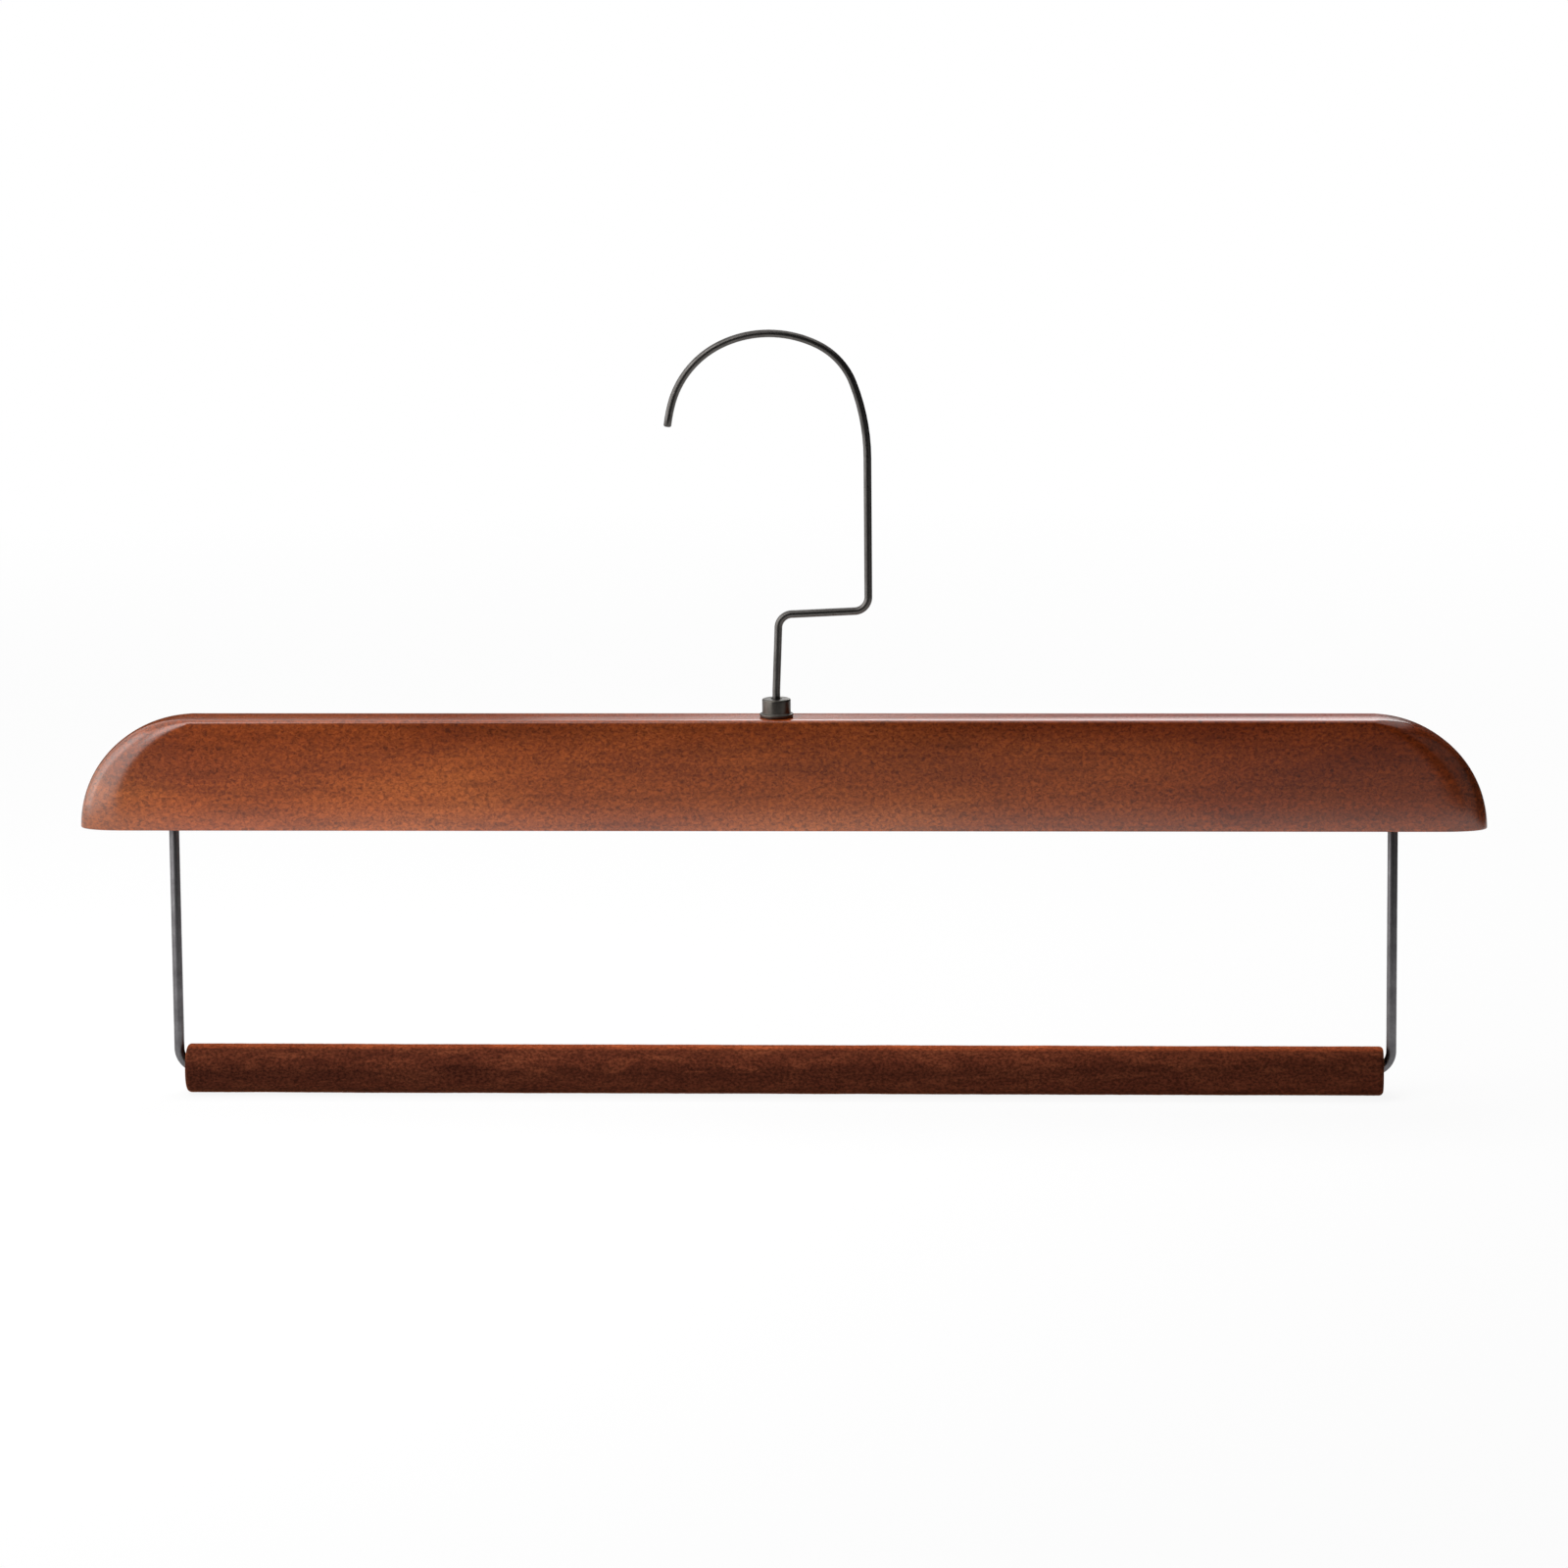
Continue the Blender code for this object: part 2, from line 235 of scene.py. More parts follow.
def add_world():
    """White to the camera and in reflections, and a weak white light to all else."""
    world = bpy.data.worlds.new("studio")
    bpy.context.scene.world = world
    world.use_nodes = True
    tree = world.node_tree
    lit = tree.nodes["Background"]
    lit.inputs["Color"].default_value = (1, 1, 1, 1)
    lit.inputs["Strength"].default_value = room_light
    white = tree.nodes.new("ShaderNodeBackground")
    white.inputs["Color"].default_value = (1, 1, 1, 1)
    white.inputs["Strength"].default_value = 1.0
    mixed = tree.nodes.new("ShaderNodeMixShader")
    link(tree, background_share(tree, 1.0), mixed.inputs["Fac"])
    link(tree, lit.outputs[0], mixed.inputs[1])
    link(tree, white.outputs[0], mixed.inputs[2])
    link(tree, mixed.outputs[0], tree.nodes["World Output"].inputs["Surface"])


def add_floor():
    """A white disc whose own shade shows a little near the hanger, and fades out further away."""
    shape = bmesh.new()
    bmesh.ops.create_circle(shape, cap_ends=True, segments=floor_sides, radius=floor_radius,
                            matrix=Matrix.Translation((0, 0, floor_height)))
    mesh = bpy.data.meshes.new("floor")
    shape.to_mesh(mesh)
    shape.free()
    floor = bpy.data.objects.new("floor", mesh)
    bpy.context.collection.objects.link(floor)
    made = bpy.data.materials.new("white_floor")
    made.use_nodes = True
    tree = made.node_tree
    tree.nodes.remove(tree.nodes["Principled BSDF"])
    paint = tree.nodes.new("ShaderNodeBsdfDiffuse")
    paint.inputs["Color"].default_value = (0.85, 0.85, 0.85, 1)
    glow = tree.nodes.new("ShaderNodeEmission")
    glow.inputs["Color"].default_value = (1, 1, 1, 1)
    glow.inputs["Strength"].default_value = 1.0
    place = tree.nodes.new("ShaderNodeTexCoord")
    distance = tree.nodes.new("ShaderNodeVectorMath")
    distance.operation = "LENGTH"
    link(tree, place.outputs["Object"], distance.inputs[0])
    whiteness = ranged(tree, distance.outputs["Value"], near_reach, far_reach, near_white, 1.0)
    mixed = tree.nodes.new("ShaderNodeMixShader")
    link(tree, background_share(tree, whiteness), mixed.inputs["Fac"])
    link(tree, paint.outputs[0], mixed.inputs[1])
    link(tree, glow.outputs[0], mixed.inputs[2])
    link(tree, mixed.outputs[0], tree.nodes["Material Output"].inputs["Surface"])
    mesh.materials.append(made)


def add_softbox(name, place, target, size, power, glossy=True, diffuse=True):
    """A rectangular lamp that faces its target, and can be kept out of reflections or show only in them."""
    data = bpy.data.lights.new(name, "AREA")
    data.shape = "RECTANGLE"
    data.size, data.size_y = size
    data.energy = power
    lamp = bpy.data.objects.new(name, data)
    bpy.context.collection.objects.link(lamp)
    lamp.location = place
    lamp.rotation_euler = (Vector(place) - Vector(target)).to_track_quat("Z", "Y").to_euler()
    lamp.visible_camera = False
    lamp.visible_glossy = glossy
    lamp.visible_diffuse = diffuse


def add_dark_screen(name, corners, height):
    """A matt black folded screen that only gloss sees, so that wood and wires reflect something dark."""
    above_floor = 0.0002
    shape = bmesh.new()
    foot = [shape.verts.new((x, y, floor_height + above_floor)) for x, y in corners]
    folds = [shape.edges.new((a, b)) for a, b in zip(foot, foot[1:])]
    raised = bmesh.ops.extrude_edge_only(shape, edges=folds)
    top = [item for item in raised["geom"] if isinstance(item, bmesh.types.BMVert)]
    bmesh.ops.translate(shape, verts=top, vec=(0, 0, height))
    mesh = bpy.data.meshes.new(name)
    shape.to_mesh(mesh)
    shape.free()
    screen = bpy.data.objects.new(name, mesh)
    bpy.context.collection.objects.link(screen)
    made = bpy.data.materials.new(name)
    made.use_nodes = True
    shader = made.node_tree.nodes["Principled BSDF"]
    shader.inputs["Base Color"].default_value = (0.02, 0.02, 0.02, 1)
    shader.inputs["Roughness"].default_value = 1.0
    shader.inputs["Specular IOR Level"].default_value = 0.0
    mesh.materials.append(made)
    screen.visible_camera = False
    screen.visible_diffuse = False
    screen.visible_transmission = False
    screen.visible_volume_scatter = False
    screen.visible_shadow = False


def finish_start(name, roughness, metallic=0.0):
    """A new material, with its node tree and its shader."""
    made = bpy.data.materials.new(name)
    made.use_nodes = True
    tree = made.node_tree
    shader = tree.nodes["Principled BSDF"]
    shader.inputs["Roughness"].default_value = roughness
    shader.inputs["Metallic"].default_value = metallic
    return made, tree, shader


def blots(tree, size, detail=2.0, roughness=0.5, distortion=0.0, offset=0.0):
    """Noise whose blots are about that long, deep and high, in metres."""
    place = tree.nodes.new("ShaderNodeTexCoord")
    mapping = tree.nodes.new("ShaderNodeMapping")
    mapping.inputs["Location"].default_value = (offset, offset, offset)
    mapping.inputs["Scale"].default_value = [1 / length for length in size]
    made = tree.nodes.new("ShaderNodeTexNoise")
    made.inputs["Scale"].default_value = 1.0
    made.inputs["Detail"].default_value = detail
    made.inputs["Roughness"].default_value = roughness
    made.inputs["Distortion"].default_value = distortion
    link(tree, place.outputs["Object"], mapping.inputs["Vector"])
    link(tree, mapping.outputs["Vector"], made.inputs["Vector"])
    return made.outputs["Fac"]


def ramp(tree, factor, stops):
    """Colours by factor: (position, red, green, blue) from low to high."""
    made = tree.nodes.new("ShaderNodeValToRGB")
    elements = made.color_ramp.elements
    while len(elements) < len(stops):
        elements.new(0.5)
    for element, (position, *colour) in zip(elements, stops):
        element.position = position
        element.color = (*colour, 1)
    link(tree, factor, made.inputs["Fac"])
    return made.outputs["Color"]


def greys(tree, factor, stops):
    """Grey levels by factor: (position, level) from low to high."""
    return ramp(tree, factor, [(position, level, level, level) for position, level in stops])


def multiplied(tree, colour, by, factor=None):
    """A colour times another, in full or as far as a node's output says.

    Sockets 6 and 7 are the mixing node's two colours, and output 2 is its mixed colour.
    """
    made = tree.nodes.new("ShaderNodeMix")
    made.data_type = "RGBA"
    made.blend_type = "MULTIPLY"
    made.clamp_result = False
    made.inputs[0].default_value = 1.0
    if factor:
        link(tree, factor, made.inputs[0])
    link(tree, colour, made.inputs[6])
    link(tree, by, made.inputs[7])
    return made.outputs[2]


def ranged(tree, factor, low, high, to_low, to_high):
    """The factor's range from low to high, stretched to another range and held at its ends."""
    made = tree.nodes.new("ShaderNodeMapRange")
    made.inputs["From Min"].default_value = low
    made.inputs["From Max"].default_value = high
    made.inputs["To Min"].default_value = to_low
    made.inputs["To Max"].default_value = to_high
    link(tree, factor, made.inputs["Value"])
    return made.outputs["Result"]


def bump(tree, shader, height, depth, strength=1.0):
    """Dents as deep as that, in metres, where the height is low."""
    made = tree.nodes.new("ShaderNodeBump")
    made.inputs["Strength"].default_value = strength
    made.inputs["Distance"].default_value = depth
    link(tree, height, made.inputs["Height"])
    link(tree, made.outputs["Normal"], shader.inputs["Normal"])


def share_along(tree, axis, low, high):
    """Share of a piece's extent along X or Z, from 0 at its low corner to 1 at its high one."""
    place = tree.nodes.new("ShaderNodeTexCoord")
    split = tree.nodes.new("ShaderNodeSeparateXYZ")
    link(tree, place.outputs["Object"], split.inputs[0])
    number = "XYZ".index(axis)
    return ranged(tree, split.outputs[axis], low[number], high[number], 0, 1)


def added(tree, first, second, share):
    """The first value, and the second less a half, times a share."""
    made = tree.nodes.new("ShaderNodeMath")
    made.operation = "MULTIPLY_ADD"
    link(tree, second, made.inputs[0])
    made.inputs[1].default_value = share
    less = tree.nodes.new("ShaderNodeMath")
    less.operation = "SUBTRACT"
    link(tree, first, less.inputs[0])
    less.inputs[1].default_value = share / 2
    link(tree, less.outputs[0], made.inputs[2])
    return made.outputs[0]


def stained_beech():
    """Red-brown stain under satin lacquer: broad warm and dark patches, thin streaks, fine curly flecks.

    Painted shade darkens the faces towards the top edge and at both ends, most at the right one; painted
    light brightens them towards the bottom, and a painted highlight makes the flat top paler, more towards
    the right.
    """
    made, tree, shader = finish_start("stained_beech", 0.5)
    patches = blots(tree, (0.070, 0.030, 0.020), detail=3.0, roughness=0.55, distortion=0.4)
    colour = ramp(tree, patches, [(0.30, 0.190, 0.037, 0.0065), (0.50, 0.240, 0.051, 0.0085),
                                  (0.70, 0.290, 0.068, 0.0120)])
    streaks = blots(tree, (0.045, 0.004, 0.0028), detail=2.0, roughness=0.6, distortion=0.6, offset=3.1)
    colour = multiplied(tree, colour, greys(tree, streaks, [(0.30, 0.80), (0.50, 1.02)]))

    height = share_along(tree, "Z", bar_low, bar_high)
    drift = blots(tree, (0.050, 0.020, 0.012), detail=2.0, offset=11.3)
    # Painted shade towards the faces' top edge and painted light towards the bottom, wavering with the
    # drift
    painted_height_shading = ramp(tree, added(tree, height, drift, 0.6), [
        (0.0, 1.20, 1.20, 1.20), (0.40, 1.0, 1.0, 1.0), (0.78, 0.81, 0.76, 0.70), (0.96, 0.62, 0.52, 0.42)])
    colour = multiplied(tree, colour, painted_height_shading)

    along = share_along(tree, "X", bar_low, bar_high)
    # Painted shade at both ends, most at the right one, and painted light a little in from the left end
    painted_end_shading = ramp(tree, along, [
        (0.0, 0.76, 0.88, 0.92), (0.035, 0.98, 1.04, 1.03), (0.08, 1.13, 1.08, 1.0),
        (0.40, 1.10, 1.10, 1.08), (0.60, 1.0, 1.0, 1.0), (0.80, 0.95, 0.82, 0.80), (1.0, 0.90, 0.78, 0.76)])
    colour = multiplied(tree, colour, painted_end_shading)
    # Painted highlight on the flat top, stronger towards the right
    painted_top_light = ramp(tree, along, [
        (0.15, 1.05, 1.10, 1.10), (0.45, 1.30, 1.22, 1.10), (0.75, 1.65, 1.30, 1.10)])
    top_light_mask = ranged(tree, height, 0.985, 0.993, 0, 1)
    colour = multiplied(tree, colour, painted_top_light, top_light_mask)

    flecks = blots(tree, (0.0012, 0.0009, 0.0009), detail=3.0, roughness=0.7, distortion=0.8, offset=7.7)
    colour = multiplied(tree, colour, greys(tree, flecks, [(0.34, 0.50), (0.64, 1.48)]))
    link(tree, colour, shader.inputs["Base Color"])
    link(tree, ranged(tree, flecks, 0.3, 0.7, 0.54, 0.44), shader.inputs["Roughness"])
    shader.inputs["Specular IOR Level"].default_value = 0.0
    shader.inputs["Coat Weight"].default_value = 1.0
    shader.inputs["Coat Roughness"].default_value = 0.21
    shader.inputs["Coat IOR"].default_value = 1.7
    bump(tree, shader, flecks, 0.00003, 0.5)
    return made


def bare_beech():
    """Pale wood with fine fibres along the dowel."""
    made, tree, shader = finish_start("bare_beech", 0.75)
    fibres = blots(tree, (0.012, 0.0005, 0.0005), detail=3.0, roughness=0.6)
    colour = ramp(tree, fibres, [(0.3, 0.40, 0.24, 0.13), (0.5, 0.56, 0.37, 0.21), (0.7, 0.66, 0.46, 0.28)])
    link(tree, colour, shader.inputs["Base Color"])
    bump(tree, shader, fibres, 0.00005)
    return made


def dark_plating(name, dark, light, roughness):
    """Gunmetal plating with cloudy patches and a fine dull mottle."""
    made, tree, shader = finish_start(name, roughness, metallic=1.0)
    clouds = blots(tree, (0.004, 0.004, 0.004), detail=4.0, roughness=0.6)
    grit = blots(tree, (0.0004, 0.0004, 0.0006), detail=2.0, offset=5.0)
    colour = ramp(tree, clouds, [(0.25, *dark), (0.75, *light)])
    colour = multiplied(tree, colour, greys(tree, grit, [(0.3, 0.92), (0.7, 1.06)]))
    link(tree, colour, shader.inputs["Base Color"])
    duller = roughness + 0.06
    brighter = roughness - 0.04
    link(tree, ranged(tree, clouds, 0.3, 0.7, duller, brighter), shader.inputs["Roughness"])
    bump(tree, shader, grit, 0.00001, 0.4)
    return made


def plain_steel():
    """Bare steel with a fine grit."""
    made, tree, shader = finish_start("plain_steel", 0.4, metallic=1.0)
    grit = blots(tree, (0.0008, 0.0008, 0.0002), detail=2.0)
    link(tree, greys(tree, grit, [(0.3, 0.38), (0.7, 0.56)]), shader.inputs["Base Color"])
    return made


def brown_velvet():
    """Short dense pile with brushed patches, painted light in bands above and below, and a warm glow at
    grazing angles.

    The band of painted light along the top narrows towards the right, and a painted highlight runs along
    the top edge.
    """
    made, tree, shader = finish_start("brown_velvet", 0.95)
    brushed = blots(tree, (0.016, 0.005, 0.004), detail=4.0, roughness=0.65, distortion=0.6)
    colour = ramp(tree, brushed, [(0.34, 0.047, 0.0110, 0.0054), (0.50, 0.060, 0.0145, 0.0068),
                                  (0.66, 0.086, 0.0222, 0.0100)])
    above = share_along(tree, "Z", rail_low, rail_high)
    along = share_along(tree, "X", rail_low, rail_high)
    # Painted light in bands along the rail's top and bottom, the top band narrowing towards the right
    light_band_narrowing = ranged(tree, along, 0.6, 1.0, 0.5, 0.0)
    height = added(tree, added(tree, above, brushed, 0.38), light_band_narrowing, 0.5)
    painted_light_bands = ramp(tree, height, [(0.10, 1.45, 1.45, 1.45), (0.32, 1.20, 1.20, 1.20),
                                (0.52, 1.0, 1.0, 1.0), (0.74, 1.65, 1.65, 1.60)])
    colour = multiplied(tree, colour, painted_light_bands)
    # Painted highlight: a bright warm line along the rail's top
    painted_rim_highlight = ramp(tree, above, [(0.94, 1.0, 1.0, 1.0), (0.99, 2.6, 2.2, 1.6)])
    colour = multiplied(tree, colour, painted_rim_highlight)
    lengthwise = greys(tree, along, [(0.05, 0.80), (0.35, 1.06), (0.75, 1.15), (1.0, 1.10)])
    colour = multiplied(tree, colour, lengthwise)
    pile = blots(tree, (0.0009, 0.0007, 0.0007), detail=2.0, roughness=0.6, offset=2.0)
    colour = multiplied(tree, colour, greys(tree, pile, [(0.34, 0.55), (0.66, 1.45)]))
    link(tree, colour, shader.inputs["Base Color"])
    shader.inputs["Specular IOR Level"].default_value = 0.05
    shader.inputs["Sheen Weight"].default_value = 1.0
    shader.inputs["Sheen Roughness"].default_value = 0.24
    shader.inputs["Sheen Tint"].default_value = (0.95, 0.30, 0.09, 1)
    bump(tree, shader, pile, 0.0001, 0.8)
    return made


def finished_piece(name, shape, surface, body, node, move=bar_middle, sharp_angle=sharp_edge):
    """Places a shape in the row frame, smooths its shading and lets it stand for its CAD node."""
    bmesh.ops.remove_doubles(shape, verts=shape.verts, dist=weld_distance)
    bmesh.ops.recalc_face_normals(shape, faces=shape.faces)
    bmesh.ops.translate(shape, verts=shape.verts, vec=move)
    mesh = bpy.data.meshes.new(name)
    shape.to_mesh(mesh)
    shape.free()
    mesh.shade_smooth()
    mesh.set_sharp_from_angle(angle=math.radians(sharp_angle))
    mesh.materials.append(surface)
    piece = bpy.data.objects.new(name, mesh)
    bpy.context.collection.objects.link(piece)
    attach(piece, body)
    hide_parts(node)
    return piece


def turned(profile, steps=turned_steps, along_x=False):
    """Spins a closed profile of (radius, height) points round Z, and lays it along X if asked."""
    shape = bmesh.new()
    corners = [shape.verts.new((radius, 0, height)) for radius, height in profile]
    outline = [shape.edges.new((a, b)) for a, b in zip(corners, corners[1:] + corners[:1])]
    bmesh.ops.spin(shape, geom=corners + outline, cent=(0, 0, 0), axis=(0, 0, 1), angle=math.tau,
                   steps=steps, use_merge=True)
    bmesh.ops.remove_doubles(shape, verts=shape.verts, dist=weld_distance)
    flat = [face for face in shape.faces if face.calc_area() < least_face_area]
    bmesh.ops.delete(shape, geom=flat, context="FACES_ONLY")
    loose = [edge for edge in shape.edges if not edge.link_faces]
    bmesh.ops.delete(shape, geom=loose, context="EDGES")
    if along_x:
        bmesh.ops.rotate(shape, verts=shape.verts, cent=(0, 0, 0),
                         matrix=Matrix.Rotation(math.radians(90), 3, "Y"))
    return shape


def quarter(centre, radius, start, end, steps=rounding_steps):
    """Points of a profile's rounding, as (radius, height), between two angles in degrees."""
    angles = [math.radians(start + (end - start) * i / steps) for i in range(steps + 1)]
    return [(centre[0] + radius * math.cos(angle), centre[1] + radius * math.sin(angle))
            for angle in angles]


class Wire:
    """A round wire that is fed straight and bent in the XZ plane, from one cut end to the other."""

    def __init__(self, start, heading, radius):
        self.shape = bmesh.new()
        self.place = Vector(start)
        self.heading = Vector(heading).normalized()
        turn = self.heading.to_track_quat("Z", "Y").to_matrix().to_4x4()
        made = bmesh.ops.create_circle(self.shape, cap_ends=True, segments=wire_sides,
                                       radius=radius * cut_share,
                                       matrix=Matrix.Translation(self.place) @ turn)
        self.ring = made["verts"]
        for length, growth in zip(ease_lengths, ease_growths):
            self.feed(radius * length, growth)

    def edges(self):
        """Edges of the wire's open end."""
        ring = set(self.ring)
        return [edge for edge in self.shape.edges if edge.verts[0] in ring and edge.verts[1] in ring]

    def feed(self, length, growth=1.0):
        """Goes straight on for a length, and ends that many times as thick."""
        made = bmesh.ops.extrude_edge_only(self.shape, edges=self.edges())
        self.ring = [item for item in made["geom"] if isinstance(item, bmesh.types.BMVert)]
        self.place = self.place + self.heading * length
        bmesh.ops.translate(self.shape, verts=self.ring, vec=self.heading * length)
        bmesh.ops.scale(self.shape, verts=self.ring, vec=(growth, growth, growth),
                        space=Matrix.Translation(-self.place))

    def bend(self, radius, degrees):
        """Turns clockwise as seen from the front, or the other way if degrees is below nought."""
        side = math.copysign(1, degrees)
        across = Vector((self.heading.z, 0, -self.heading.x)) * side
        centre = self.place + across * radius
        steps = max(2, math.ceil(abs(degrees) / bend_step))
        made = bmesh.ops.spin(self.shape, geom=self.ring + self.edges(), cent=centre, axis=(0, 1, 0),
                              angle=math.radians(degrees), steps=steps)
        self.ring = [item for item in made["geom_last"] if isinstance(item, bmesh.types.BMVert)]
        turn = Matrix.Rotation(math.radians(degrees), 3, "Y")
        self.place = centre + turn @ (self.place - centre)
        self.heading = turn @ self.heading

    def follow(self, corners, radii, end):
        """Runs to each corner, bends round it towards the next, and stops at the end."""
        for corner, after, radius in zip(corners, corners[1:] + [end], radii):
            ahead = (after - corner).normalized()
            turn = math.atan2(self.heading.cross(ahead).y, self.heading.dot(ahead))
            self.feed((corner - self.place).length - radius * math.tan(abs(turn) / 2))
            self.bend(radius, math.degrees(turn))
        self.feed((end - self.place).length)

    def cut(self, radius):
        """Ends the wire with a flat cut and an eased rim."""
        for length, growth in zip(reversed(ease_lengths), reversed(ease_growths)):
            self.feed(radius * length, 1 / growth)
        bmesh.ops.contextual_create(self.shape, geom=self.edges())
        return self.shape


def add_hook(surface):
    """Bowl of tangent arcs, straight run, sideways crank, stem, and the upset head under the ferrule."""
    arcs = [(crown_radius, 0, crown_angle), (near_shoulder_radius, crown_angle, near_shoulder_angle),
            (near_side_radius, near_shoulder_angle, tip_angle)]
    across = 0
    down = 0
    for radius, start, end in arcs:
        across += radius * (math.sin(math.radians(end)) - math.sin(math.radians(start)))
        down += radius * (math.cos(math.radians(start)) - math.cos(math.radians(end)))
    tip = Vector((bowl_offset - across, 0, hook_height - down))
    heading = Vector((math.cos(math.radians(tip_angle)), 0, math.sin(math.radians(tip_angle))))
    wire = Wire(tip - heading * hook_radius * ease_reach, heading, hook_radius)
    wire.bend(near_side_radius, tip_angle - near_shoulder_angle)
    wire.bend(near_shoulder_radius, near_shoulder_angle - crown_angle)
    wire.bend(crown_radius, 2 * crown_angle)
    wire.bend(far_shoulder_radius, far_shoulder_angle - crown_angle)
    wire.bend(far_side_radius, 90 - far_shoulder_angle)
    corners = [Vector((wire.place.x, 0, crank_height + crank_climb)),
               Vector((stem_lean, 0, crank_height)),
               Vector((0, 0, ferrule_height + 2 * hook_radius))]
    head_top = hook_foot + head_length
    wire.follow(corners, [hook_bend_radius, hook_bend_radius, stem_bend_radius], Vector((0, 0, head_top)))
    wire.feed(head_step, head_radius / hook_radius)
    wire.feed(head_length - head_rim)
    return finished_piece("hook", wire.cut(hook_radius), surface, "hook", "hook_wire",
                          move=stem_foot)


def add_leg(name, side, surface, node):
    """Down out of its seat in the bar, and in along the rail's axis."""
    top = Vector((side * leg_x, 0, leg_seat_depth - bar_height))
    corner = Vector((side * leg_x, 0, -rail_drop))
    tip = Vector((side * (leg_x - pin_reach + leg_radius * ease_reach), 0, -rail_drop))
    wire = Wire(top, (0, 0, -1), leg_radius)
    wire.follow([corner], [leg_bend_radius], tip)
    return finished_piece(name, wire.cut(leg_radius), surface, "hanger", node)


def add_ferrule(surface):
    """Flange and barrel above the bar, and a barbed shank in it, all round one bore for the stem."""
    profile = [(stem_bore_radius + bore_lip, ferrule_height), (stem_bore_radius, ferrule_height - bore_lip),
               (stem_bore_radius, -shank_length), (shank_core_radius - bore_lip, -shank_length)]
    barbs = int((shank_length - barb_pitch / 2) / barb_pitch)
    for i in range(barbs):
        low = i * barb_pitch - shank_length
        profile += [(shank_core_radius, low + barb_pitch * barb_foot),
                    (shank_core_radius + barb_depth, low + barb_pitch * barb_rim),
                    (shank_core_radius, low + barb_pitch * barb_back)]
    profile += [(shank_core_radius, flange_gap), (flange_radius - flange_chamfer, flange_gap)]
    edge = flange_height / 2
    profile += quarter((flange_radius - edge, seat_gap + edge), edge, -30, 90)
    flange_top = seat_gap + flange_height
    profile += [(ferrule_radius + foot_fillet, flange_top), (ferrule_radius, flange_top + foot_fillet)]
    profile += quarter((ferrule_radius - ferrule_edge, ferrule_height - ferrule_edge), ferrule_edge, 0, 90)
    return finished_piece("ferrule", turned(profile), surface, "hanger", "hook_ferrule",
                          move=stem_foot)


def bar_outline():
    """Front view of the bar before its underside is cut: (x, z, outward x, outward z, edge rounding)."""
    straight = bar_length / 2 - bar_height
    spare = bar_height * blank_spare
    right = []
    for i in range(end_steps + 1):
        angle = math.pi / 2 * i / end_steps
        rounding = top_arris + (end_round - top_arris) * (i / end_steps) ** end_round_growth
        right.append((straight + bar_height * math.sin(angle), bar_height * (math.cos(angle) - 1),
                      math.sin(angle), math.cos(angle), rounding))
    right.append((bar_length / 2, -bar_height - spare, 1, -1, end_round))
    left = [(-x, z, -out_x, out_z, rounding) for x, z, out_x, out_z, rounding in reversed(right)]
    return right + left


def bar_loop(shape, outline, side, angle, further=0.0):
    """One loop round the bar, at a given angle of its edge rounding, on the front (-1) or back (1)."""
    corners = []
    for x, z, out_x, out_z, rounding in outline:
        softness = 1 + (end_round_softness - 1) * (rounding - top_arris) / (end_round - top_arris)
        inset = rounding * softness * (1 - math.sin(angle) ** (1 / softness)) + further
        depth = min(rounding, end_round_depth) * (1 - math.cos(angle))
        face = side * (bar_thickness / 2 - depth)
        corners.append(shape.verts.new((x - out_x * inset, face, z - out_z * inset)))
    return [shape.edges.new((a, b)) for a, b in zip(corners, corners[1:] + corners[:1])]


def sliced(shape, height, drop_below=False):
    """Cuts the whole shape across at a height, and returns the edges of the cut."""
    cut = bmesh.ops.bisect_plane(shape, geom=shape.verts[:] + shape.edges[:] + shape.faces[:],
                                 dist=weld_distance, plane_co=(0, 0, height), plane_no=(0, 0, -1),
                                 clear_outer=drop_below)
    return [item for item in cut["geom_cut"] if isinstance(item, bmesh.types.BMEdge)]


def bar_blank():
    """Loops bridged from face to face, the underside cut flat and eased, the faces and top sanded round."""
    shape = bmesh.new()
    outline = bar_outline()
    angles = [math.pi / 2 * i / edge_steps for i in range(edge_steps + 1)]
    loops = [bar_loop(shape, outline, -1, 0.0, face_border)]
    loops += [bar_loop(shape, outline, -1, angle) for angle in angles]
    loops += [bar_loop(shape, outline, 1, angle) for angle in reversed(angles)]
    loops += [bar_loop(shape, outline, 1, 0.0, face_border)]
    for first, second in zip(loops, loops[1:]):
        bmesh.ops.bridge_loops(shape, edges=first + second)
    for loop in (loops[0], loops[-1]):
        bmesh.ops.contextual_create(shape, geom=loop)
    rim = sliced(shape, -bar_height, drop_below=True)
    bmesh.ops.contextual_create(shape, geom=rim)
    bmesh.ops.bevel(shape, geom=rim, offset=bottom_arris, offset_type="OFFSET", segments=arris_steps,
                    profile=0.5, affect="EDGES", material=-1, clamp_overlap=True)
    for i in range(1, face_slices):
        sliced(shape, -bar_height * i / face_slices)
    for vertex in shape.verts:
        from_middle = (vertex.co.z + bar_height / 2) / (bar_height / 2)
        across = vertex.co.y / (bar_thickness / 2)
        vertex.co.y *= 1 - face_crown * from_middle ** 4
        vertex.co.z -= top_crown * across ** 2 * (vertex.co.z / bar_height + 1)
    return shape


